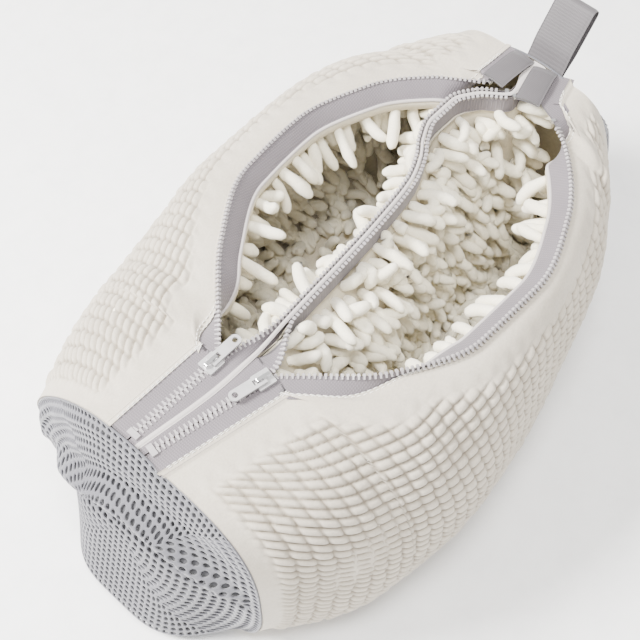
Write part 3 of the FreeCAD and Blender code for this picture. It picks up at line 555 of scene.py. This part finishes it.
def outer_tape(side):
    """Tape of the outer row, turning down into the bag where the mouth is open."""
    xs = np.linspace(NEAR_X + 1, FAR_X - 1, 220)
    origin, along, up = tape_frames(outer_row_y, outer_flare, side, xs, 1)
    starts = tape_starts(side, xs)
    name = SIDE_NAME[side] + "_outer_tape"
    item = ribbon("cloth_" + name, origin, along, up, starts, 13.8 - starts, 0.9, tape_cloth,
                  11, -0.4)
    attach(item, "bag")
    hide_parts(name)


def inner_tape(side):
    """Tape of the inner row, hanging beside the divider where the mouth is open."""
    xs = np.linspace(NEAR_X + 1, FAR_X - 1, 220)
    origin, along, up = tape_frames(inner_row_y, inner_fall, side, xs, -1)
    room = np.abs(inner_row_y(side, xs) - ridge.at(xs)) - 1.2
    hanging = inner_fall(side, xs) / 90.0
    starts = tape_starts(side, xs)
    widths = np.maximum(room, 2.0) * (1 - hanging) + 13.5 * hanging - 0.4 - starts
    name = SIDE_NAME[side] + "_inner_tape"
    item = ribbon("cloth_" + name, origin, along, up, starts, widths, 0.8, tape_cloth, 9)
    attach(item, "bag")
    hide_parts(name)


def tooth_template():
    """A moulded tooth: x along the row, y towards the other row, rounded head."""
    profile = [(-0.55, -1.7), (0.55, -1.7), (0.62, -0.2), (0.95, 0.5), (0.95, 1.35),
               (0.6, 1.8), (-0.6, 1.8), (-0.95, 1.35), (-0.95, 0.5), (-0.62, -0.2)]
    layers = [(-1.05, 0.82), (-0.8, 1.0), (0.65, 1.0), (1.0, 0.78)]
    points = []
    for z, scale in layers:
        points += [(px * scale, py * (0.96 if scale < 1 else 1.0), z) for px, py in profile]
    count = len(profile)
    faces = grid_faces(len(layers), count, 0, True, True).tolist()
    faces.append(list(range(count)))
    faces.append(list(range(count * len(layers) - 1, count * (len(layers) - 1) - 1, -1)))
    return np.array(points), faces


def teeth(side, row_name, row_y, first_shift, towards):
    """One row of teeth at even spacing along its tape, in a single mesh."""
    fine = np.linspace(-168.0, 151.0, 4000)
    origin, across = row_frames(row_y, side, fine)
    travelled = np.concatenate([[0], np.cumsum(np.linalg.norm(np.diff(origin, axis=0), axis=1))])
    stops = np.arange(first_shift, travelled[-1], TOOTH_PITCH)
    place = np.stack([np.interp(stops, travelled, origin[:, i]) for i in range(3)], axis=1)
    face_in = np.stack([np.interp(stops, travelled, across[:, i]) for i in range(3)], axis=1)
    face_in = face_in * towards
    angle_of = outer_flare if row_name == "outer" else inner_fall
    tilt = np.radians(np.minimum(angle_of(side, place[:, 0]), 90.0)) * 0.55
    tilt = tilt if row_name == "outer" else tilt * 1.4
    closed = place[:, 0] < OPEN_X[side] - 6
    template, template_faces = tooth_template()
    points = []
    faces = []
    for i in range(len(stops)):
        reach = face_in[i] / np.linalg.norm(face_in[i])
        reach = reach * math.cos(tilt[i]) + np.array([0, 0, 1.0]) * math.sin(tilt[i])
        sideways = np.cross(reach, [0, 0, 1.0])
        sideways /= np.linalg.norm(sideways)
        up = np.cross(sideways, reach)
        shift = reach * (0.35 if closed[i] else -0.2)
        local = place[i] + shift + template[:, :1] * sideways + template[:, 1:2] * reach
        points.append(local + template[:, 2:] * up)
        faces += [[v + i * len(template) for v in f] for f in template_faces]
    name = "%s_%s_teeth" % (SIDE_NAME[side], row_name)
    item = make_object("row_" + name, np.concatenate(points), faces, tooth_plastic, False)
    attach(item, "bag")
    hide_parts(name)


def mouth_binding(side):
    """Thin round binding on the free edge of an outer tape."""
    xs = np.linspace(OPEN_X[side] + 12, 146.0, 150)
    origin, along, up = tape_frames(outer_row_y, outer_flare, side, xs, 1)
    centre = origin + along * 14.6
    radii = np.full((1, len(xs)), 1.15)
    name = SIDE_NAME[side] + "_mouth_binding"
    item = tubes("cloth_" + name, centre[None], radii, 10, bias)
    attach(item, "bag")
    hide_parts(name)


def centre_piping():
    """Narrow strip between the two inner tapes, widening at the far end."""
    xs = np.linspace(NEAR_X + 1, FAR_X - 1, 200)
    on_ridge = ramp(xs, -112.0, -75.0) * (1 - ramp(xs, 148.0, 160.0))
    half = 1.7 - 0.5 * on_ridge + 4.0 * ramp(xs, 158.0, 172.0)
    origin = np.stack([xs, ridge.at(xs), top_height.at(xs)], axis=1)
    along = np.tile([0.0, 1.0, 0.0], (len(xs), 1))
    up = np.tile([0.0, 0.0, 1.0], (len(xs), 1))
    item = ribbon("cloth_centre_piping", origin, along, up, -half, half * 2, 1.8, bias, 7, 0.4)
    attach(item, "bag")
    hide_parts("centre_piping")


for side in (LEFT, RIGHT):
    outer_tape(side)
    inner_tape(side)
    teeth(side, "outer", outer_row_y, 0.0, -1)
    teeth(side, "inner", inner_row_y, 1.5, 1)
    mouth_binding(side)
centre_piping()


# ------------------------------------------------------------------ lining pile
def lining_grid(side, xs, count):
    """Pile backing inside a wall: from the mouth binding down, then along the wall."""
    points, along = body_grid(side, xs, count)
    inward = -grid_normals(points, side)
    wall = points + inward * 4.5
    origin, direction, _ = tape_frames(outer_row_y, outer_flare, side, xs, 1)
    binding = origin + direction * 15.0
    hang = np.repeat(binding[:, None, :], count, axis=1)
    hang[:, :, 2] -= np.maximum(along - 10.0, 0.0) * 0.9
    share = ramp(along, 12.0, 62.0)[:, :, None]
    opened = ramp(outer_flare(side, xs), 20.0, 100.0)[:, None, None]
    share = 1 - (1 - share) * opened
    grid = wall * share + hang * (1 - share)
    grid[:, :, 2] = np.maximum(grid[:, :, 2], 3.2)
    return grid, along


def noodle_field(name, base, normal, length, radius, pull, material):
    """Chenille noodles: each leaves its base along the normal and flops over.
    Those that would come up between the closed zips are left out."""
    n = len(base)
    length = length * random.uniform(0.82, 1.15, (n, 1))
    loose = random.normal(0, 0.34, (n, 3))
    start = normal + loose * 0.7
    start /= np.linalg.norm(start, axis=1, keepdims=True)
    end = normal * 0.25 + pull + loose + random.normal(0, 0.42, (n, 3))
    end /= np.linalg.norm(end, axis=1, keepdims=True)
    t = np.array([0.0, 0.10, 0.26, 0.44, 0.62, 0.78, 0.90, 0.97])[None, :, None]
    p1 = base + start * length * 0.55
    p2 = p1 + end * length * 0.5
    centres = base[:, None] * (1 - t) ** 2 + 2 * p1[:, None] * t * (1 - t) + p2[:, None] * t ** 2
    shape = np.array([0.80, 0.92, 1.0, 1.04, 1.03, 0.98, 0.78, 0.45])[None, :]
    radii = radius * random.uniform(0.88, 1.12, (n, 1)) * shape
    radii = radii * (1 + random.normal(0, 0.035, (n, 8)))
    centres = centres + random.normal(0, 0.18, centres.shape)
    centres[:, :, 0] = np.clip(centres[:, :, 0], NEAR_X + 3.0 + radii, FAR_X - 3.0 - radii)
    centres[:, :, 2] = np.maximum(centres[:, :, 2], 3.0 + radii)
    highest = (centres[:, :, 2] + radii).max(axis=1)
    covered = ramp(-base[:, 0], 70.0, 100.0) + ramp(base[:, 0], 156.0, 166.0)
    ceiling = top_height.at(base[:, 0]) + 3.0 - 9.0 * np.clip(covered, 0, 1)
    fits = highest < ceiling
    return tubes(name, centres[fits], radii[fits], 9, material)


def sample_grid(points, normal, keep, step_u, step_v):
    """Staggered places on a fine grid, with jitter, where keep is true."""
    rows, columns = points.shape[:2]
    base = []
    normals = []
    for i, u in enumerate(np.arange(step_u / 2, rows - 1, step_u)):
        for v in np.arange(step_v / 2 + (i % 2) * step_v / 2, columns - 1, step_v):
            a = int(np.clip(u + random.normal(0, step_u * 0.14), 0, rows - 1))
            b = int(np.clip(v + random.normal(0, step_v * 0.14), 0, columns - 1))
            if keep[a, b]:
                base.append(points[a, b])
                normals.append(normal[a, b])
    return np.array(base), np.array(normals)


def wall_pile(side):
    """Lining cloth of a wall and its noodles."""
    xs = np.linspace(NEAR_X + 6, FAR_X - 6, 351)
    grid, along = lining_grid(side, xs, 270)
    inward = -grid_normals(grid, side)
    name = SIDE_NAME[side] + "_wall_noodles"
    cloth = thick_sheet("lining_" + name, grid[::4, 7::4], (grid + inward * 0.9)[::4, 7::4],
                        backing)
    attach(cloth, "bag")
    opened = outer_flare(side, grid[:, :, 0]) > 60.0
    keep = (along > 16.0) & (opened | (along > 24.0))
    base, normal = sample_grid(grid, inward, keep, 10.4, 9.8)
    mostly_up = normal[:, 2:3] < -0.5
    pull = np.where(mostly_up, 0.2, 1.0) * np.array([[0.0, 0.0, -0.75]])
    pull = pull + normal * 0.25
    item = noodle_field("pile_" + name, base, normal, 24.0, NOODLE_RADIUS, pull, pile)
    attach(item, "bag")
    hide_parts(name)


def divider_grid(side, depth, xs, count):
    """Face of the divider from its foot to the ridge, with the right side's billow."""
    share = np.linspace(0.0, 1.0, count)[None, :]
    x = xs[:, None] + share * 0
    on_ridge = ramp(x, -112.0, -60.0) * (1 - ramp(x, 148.0, 160.0))
    top = top_height.at(x) - 4.0 - 9.0 * on_ridge
    z = 4.0 + (top - 4.0) * share
    y = ridge.at(x) * (z - 4.0) / (top_height.at(x) - 4.0)
    if side == RIGHT:
        swell = 24.0 * ramp(x, -150.0, -75.0) * (1 - ramp(x, -30.0, 60.0))
        y = y - swell * np.sin(math.pi * share ** 1.6)
        y = y - 5.0 * ramp(x, 60.0, 120.0) * np.sin(math.pi * share)
    else:
        y = y + 4.0 * np.sin(math.pi * share) * ramp(x, -120.0, -40.0)
    return np.stack([x, y + side * depth, z], axis=2)


def divider_side(side):
    """One cloth of the divider and its noodles."""
    xs = np.linspace(NEAR_X + 6, FAR_X - 5, 351)
    face = divider_grid(side, 1.6, xs, 161)
    back = divider_grid(side, 0.3, xs, 161)
    name = SIDE_NAME[side]
    cloth = thick_sheet("cloth_divider_%s_layer" % name, face[::5, ::4], back[::5, ::4], backing)
    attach(cloth, "bag")
    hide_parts("divider_%s_layer" % name)
    du = np.gradient(face, axis=0)
    dv = np.gradient(face, axis=1)
    normal = np.cross(dv, du) * side
    normal /= np.linalg.norm(normal, axis=2, keepdims=True)
    keep = np.ones(face.shape[:2], bool)
    keep &= (face[:, :, 0] > NEAR_X + 12) & (face[:, :, 0] < FAR_X - 18)
    base, out = sample_grid(face, normal, keep, 9.2, 9.0)
    height = (base[:, 2:3] - 100.0) / 60.0
    pull = np.array([[0.0, 0.0, -0.8]]) * (1 - 0.6 * np.clip(height, 0, 1))
    item = noodle_field("pile_divider_%s_noodles" % name, base, out, 25.0, NOODLE_RADIUS, pull,
                        pile)
    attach(item, "bag")
    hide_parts("divider_%s_noodles" % name)


for side in (LEFT, RIGHT):
    wall_pile(side)
for side in (LEFT, RIGHT):
    divider_side(side)


# ------------------------------------------------------------------ end panels
def rim_outline(rim_x, count, inset):
    """Closed rim outline in the plane of the rim, as distances from its middle by angle."""
    left, _ = body_grid(LEFT, np.array([rim_x]), 200)
    right, _ = body_grid(RIGHT, np.array([rim_x]), 200)
    loop = np.concatenate([left[0], right[0][::-1]])[:, 1:]
    middle = np.array([(loop[:, 0].min() + loop[:, 0].max()) / 2, 80.0])
    offset = loop - middle
    angle = np.arctan2(offset[:, 1], offset[:, 0])
    order = np.argsort(angle)
    angle = angle[order]
    reach = np.hypot(offset[order, 0], offset[order, 1]) - inset
    return middle, angle, reach


def square_to_rim(rim_x, a, b, inset):
    """Maps a square of (a, b) in -1..1 to the inside of a rim."""
    middle, angle, reach = rim_outline(rim_x, 200, inset)
    theta = np.arctan2(b, a)
    radius = np.hypot(a, b)
    square = 1 / np.maximum(np.abs(np.cos(theta)), np.abs(np.sin(theta)))
    rim = np.interp(theta, angle, reach, period=2 * math.pi)
    blend = np.maximum(np.abs(a), np.abs(b))
    scale = rim / square
    y = middle[0] + radius * np.cos(theta) * scale
    z = middle[1] + radius * np.sin(theta) * scale
    return y, z, blend


def near_depth(y, z, edge):
    """How far the slack near panel stands out of its rim: a belly low down, a fold over it."""
    down = np.clip((167.0 - z) / 140.0, 0.0, 1.2)
    belly = 33.0 * down ** 1.25 * np.exp(-((y - 6.0) / 60.0) ** 4)
    lobe = 6.0 * np.exp(-(((y - 94.0) / 24.0) ** 2 + ((z - 82.0) / 34.0) ** 2))
    fold_z = 112.0 - 0.0052 * (y + 10.0) ** 2
    above = z - fold_z
    fold = 9.5 * np.exp(-(above / 9.0) ** 2) - 7.0 * np.exp(-((above + 15.0) / 6.5) ** 2)
    fold = fold * ramp(y, -84.0, -60.0) * (1 - ramp(y, 62.0, 88.0))
    ripples = 0.8 * np.sin(above / 4.2 + y / 26.0) * np.exp(-((above - 20.0) / 22.0) ** 2)
    gathers = 1.2 * np.sin(y / 3.4 + z / 21.0) * np.exp(-(((y - 82.0) / 22.0) ** 2
                                                        + ((z - 112.0) / 24.0) ** 2))
    return (belly + lobe + fold + ripples + gathers) * edge + 1.5 * edge


def far_depth(y, z, edge):
    """The far panel bulges evenly, and lies flatter at the top under the hanging loop."""
    bulge = 15.0 + 2.0 * np.sin(y / 14.0) * np.sin(z / 17.0)
    return bulge * edge * (1 - 0.7 * ramp(z, 135.0, 164.0))


def apply_modifiers(item):
    """Keeps the finished mesh and drops its modifiers."""
    graph = bpy.context.evaluated_depsgraph_get()
    final = bpy.data.meshes.new_from_object(item.evaluated_get(graph))
    item.modifiers.clear()
    item.data = final


def mesh_panel(name, rim_x, away, depth_of, across, upward, behind):
    """Air mesh with real holes over a darker backing, sewn to the rim."""
    cell = 2.0 / across
    rise = 2.0 / upward
    hole = np.array([(math.cos(t), math.sin(t)) for t in np.radians(np.arange(0, 360, 45) + 22.5)])
    square = np.array([(1, 0.42), (0.42, 1), (-0.42, 1), (-1, 0.42),
                       (-1, -0.42), (-0.42, -1), (0.42, -1), (1, -0.42)])
    ring = np.array([(1, 1), (-1, 1), (-1, -1), (1, -1)])
    ab = []
    faces = []
    for i in range(across):
        for j in range(upward):
            middle = np.array([-1 + (i + 0.5) * cell, -1 + (j + 0.5) * rise])
            size = np.array([cell, rise]) / 2
            start = len(ab)
            ab += list(middle + hole * size * HOLE_SHARE)
            ab += list(middle + square * size)
            ab += list(middle + ring * size)
            for k in range(8):
                after = (k + 1) % 8
                faces.append([start + k, start + after, start + 8 + after, start + 8 + k])
            for k in range(4):
                first = start + 8 + 2 * k
                faces.append([first, start + 8 + (2 * k + 1) % 8, start + 16 + k])
    ab = np.array(ab)
    y, z, blend = square_to_rim(rim_x, ab[:, 0], ab[:, 1], 1.0)
    edge = 1 - ramp(blend, 0.88, 1.0)
    x = rim_x + away * depth_of(y, z, edge)
    points = np.stack([x, y, z], axis=1)
    item = make_object("cloth_" + name, points, faces, mesh_cloth)
    weld = item.modifiers.new("weld", "WELD")
    weld.merge_threshold = 0.00008
    solid = item.modifiers.new("thickness", "SOLIDIFY")
    solid.thickness = 0.0011
    solid.offset = 0.0
    apply_modifiers(item)
    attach(item, "bag")
    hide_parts(name)
    a, b = np.meshgrid(np.linspace(-1, 1, 70), np.linspace(-1, 1, 64), indexing="ij")
    y, z, blend = square_to_rim(rim_x, a.ravel(), b.ravel(), 1.6)
    edge = 1 - ramp(blend, 0.88, 1.0)
    x = rim_x + away * (depth_of(y, z, edge) - 2.0 * edge)
    layer = np.stack([x, y, z], axis=1).reshape(70, 64, 3)
    deeper = layer.copy()
    deeper[:, :, 0] -= away * 0.6
    back = thick_sheet("backing_" + name, layer, deeper, behind)
    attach(back, "bag")


mesh_panel("near_end_mesh", NEAR_X, -1, near_depth, 36, 33, mesh_dark)
mesh_panel("far_end_mesh", FAR_X, 1, far_depth, 25, 31, backing)


def rim_binding(name, rim_x, inward):
    """Flat strip round the inside of an end rim."""
    middle, angle, reach = rim_outline(rim_x, 200, 5.0)
    theta = np.linspace(-math.pi, math.pi, 181)[:-1]
    radius = np.interp(theta, angle, reach, period=2 * math.pi)
    rows = []
    for shift, deep in ((1.0, 0.0), (9.0, 0.0), (9.0, 1.2), (1.0, 1.2)):
        y = middle[0] + np.cos(theta) * (radius - deep)
        z = middle[1] + np.sin(theta) * (radius - deep)
        rows.append(np.stack([np.full(180, rim_x + inward * shift), y, z], axis=1))
    points = np.stack(rows, axis=1).reshape(-1, 3)
    faces = grid_faces(180, 4, 0, False, True).tolist()
    last = 179 * 4
    faces += [[last + k, k, (k + 1) % 4, last + (k + 1) % 4] for k in range(4)]
    item = make_object("cloth_" + name, points, faces, bias)
    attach(item, "bag")
    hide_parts(name)


rim_binding("near_rim_binding", NEAR_X, 1)
rim_binding("far_rim_binding", FAR_X, -1)


# ------------------------------------------------------------------ webbing
TAB_PLACE = {LEFT: (24.0, -4.0), RIGHT: (-3.2, 15.0)}


def end_tab(side):
    """Webbing tab over the far end of a zip."""
    middle_y, yaw = TAB_PLACE[side]
    turn = math.radians(yaw)
    run = np.array([math.cos(turn), math.sin(turn), 0.03])
    across = np.array([-math.sin(turn), math.cos(turn), 0.0])
    steps = np.linspace(0, 1, 40)
    start = np.array([153.0, middle_y, top_height.at(153.0) + 2.5])
    origin = start + run * (TAB_LENGTH * steps[:, None])
    origin[:, 2] += 0.9 * np.sin(math.pi * steps) - 1.6 * ramp(steps, 0.8, 1.0)
    along = np.tile(across, (40, 1))
    up = np.tile([0.0, 0.0, 1.0], (40, 1))
    name = SIDE_NAME[side] + "_end_tab"
    item = ribbon("web_" + name, origin, along, up, np.full(40, -TAB_WIDTH / 2),
                  np.full(40, TAB_WIDTH), 1.7, web_cloth, 15, 0.8)
    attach(item, "bag")
    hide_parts(name)


def hanging_loop():
    """One webbing strap folded back on itself, standing on its seam."""
    lean = math.radians(LOOP_LEAN)
    out = np.array([math.sin(lean), 0, math.cos(lean)])
    flat = np.array([math.cos(lean), 0, -math.sin(lean)])
    seam = np.array([190.3, 9.0, 170.0])
    radius = LOOP_FOLD_RADIUS
    straight = LOOP_HEIGHT - radius
    rise = np.linspace(-3.6, straight, 28)
    bow = 0.34 + 0.66 * ramp(rise, -3.0, 14.0)
    turn = np.linspace(0, math.pi, 17)[1:-1]
    profile = [(-radius * b, h) for b, h in zip(bow, rise)]
    profile += [(-radius * math.cos(t), straight + radius * math.sin(t)) for t in turn]
    profile += [(radius * b, h) for b, h in zip(bow[::-1], rise[::-1])]
    profile = np.array(profile)
    line = seam + profile[:, :1] * flat + profile[:, 1:] * out
    tangent = np.gradient(line, axis=0)
    tangent /= np.linalg.norm(tangent, axis=1, keepdims=True)
    along = np.tile([0.0, 1.0, 0.0], (len(line), 1))
    up = np.cross(along, tangent)
    item = ribbon("web_hanging_loop", line, along, up, np.full(len(line), -LOOP_WIDTH / 2),
                  np.full(len(line), LOOP_WIDTH), 1.4, web_cloth, 19)
    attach(item, "loop")
    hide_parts("hanging_loop")


for side in (LEFT, RIGHT):
    end_tab(side)
hanging_loop()


# ------------------------------------------------------------------ stitches
def stitches(name, line, up, pitch, rides="bag"):
    """Short raised thread dashes along a line of points lying on cloth."""
    travelled = np.concatenate([[0], np.cumsum(np.linalg.norm(np.diff(line, axis=0), axis=1))])
    starts = np.arange(pitch * 0.5, travelled[-1] - pitch, pitch)
    share = np.array([0.0, 0.18, 0.5, 0.82, 1.0])
    lift = np.array([-0.15, 0.25, 0.38, 0.25, -0.15])
    stops = starts[:, None] + share[None, :] * pitch * 0.68
    centres = np.stack([np.interp(stops, travelled, line[:, i]) for i in range(3)], axis=2)
    rise = np.stack([np.interp(stops, travelled, up[:, i]) for i in range(3)], axis=2)
    centres = centres + rise * lift[None, :, None]
    item = tubes("stitches_" + name, centres, np.full(stops.shape, 0.26), 6, thread)
    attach(item, rides)


def panel_stitches(side):
    """Two rows that hold the panel down on the zip tape."""
    xs = np.linspace(NEAR_X + 4, FAR_X - 8, 260)
    lap = panel_lap(side, xs)
    up = np.tile([0.0, 0.0, 1.0], (len(xs), 1))
    for index, share in enumerate((0.10, 0.62)):
        line = lap[:, 0] * (1 - share) + lap[:, 1] * share
        stitches("%s_panel_%d" % (SIDE_NAME[side], index), line, up, 3.6)


for side in (LEFT, RIGHT):
    panel_stitches(side)


# ------------------------------------------------------------------ hardware from CAD
def paint(node, material):
    """Gives a CAD node its material."""
    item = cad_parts[node]
    item.data.materials.clear()
    item.data.materials.append(material)


for side in ("left", "right"):
    paint(side + "_slider_body", enamel)
    paint(side + "_slider_cap", bright)
    paint(side + "_pull_tab", enamel)
    paint(side + "_bottom_stop", tooth_plastic)
    paint(side + "_top_stops", stop_metal)


# ------------------------------------------------------------------ stage, light, camera
def stage():
    floor = make_object("floor", np.array([(-4000, -4000, 0), (4000, -4000, 0), (4000, 4000, 0),
                                           (-4000, 4000, 0)], float), [[0, 1, 2, 3]],
                        cloth_material("floor_paper", (0.95, 0.95, 0.95), (0.98, 0.98, 0.98), 40.0,
                                       0.9, 0.0, 0.02), False)


def area_light(name, place, target, size, power, color=(1, 1, 1)):
    data = bpy.data.lights.new(name, "AREA")
    data.shape = "DISK"
    data.size = size
    data.energy = power
    data.color = color
    item = bpy.data.objects.new(name, data)
    item.location = place
    item.rotation_euler = (Vector(target) - Vector(place)).to_track_quat("-Z", "Y").to_euler()
    bpy.context.collection.objects.link(item)


def lights():
    world = bpy.data.worlds.new("studio")
    world.use_nodes = True
    world.node_tree.nodes["Background"].inputs["Color"].default_value = (1.0, 0.99, 0.97, 1)
    world.node_tree.nodes["Background"].inputs["Strength"].default_value = 1.25
    bpy.context.scene.world = world
    area_light("key", (-0.95, 0.85, 1.35), (0, 0, 0.08), 0.6, 125.0, (1.0, 0.985, 0.96))
    area_light("top", (-0.25, -0.25, 1.7), (0, 0, 0.08), 0.5, 34.0, (1.0, 0.99, 0.97))
    area_light("fill", (-1.2, -0.9, 1.1), (0, 0, 0.08), 1.2, 3.0, (0.96, 0.97, 1.0))


def camera():
    """From the near right corner, looking down into both mouths."""
    azimuth = math.radians(-47.403)
    elevation = math.radians(57.792)
    target = Vector((-0.01103, 0.02217, 0.080))
    back = Vector((math.sin(azimuth) * math.cos(elevation),
                   -math.cos(azimuth) * math.cos(elevation), math.sin(elevation)))
    data = bpy.data.cameras.new("camera")
    data.sensor_width = 36.0
    data.lens = 68.0169375
    item = bpy.data.objects.new("camera", data)
    item.location = target + back * 0.780
    item.rotation_euler = (-back).to_track_quat("-Z", "Y").to_euler()
    bpy.context.collection.objects.link(item)
    bpy.context.scene.camera = item


stage()
lights()
camera()
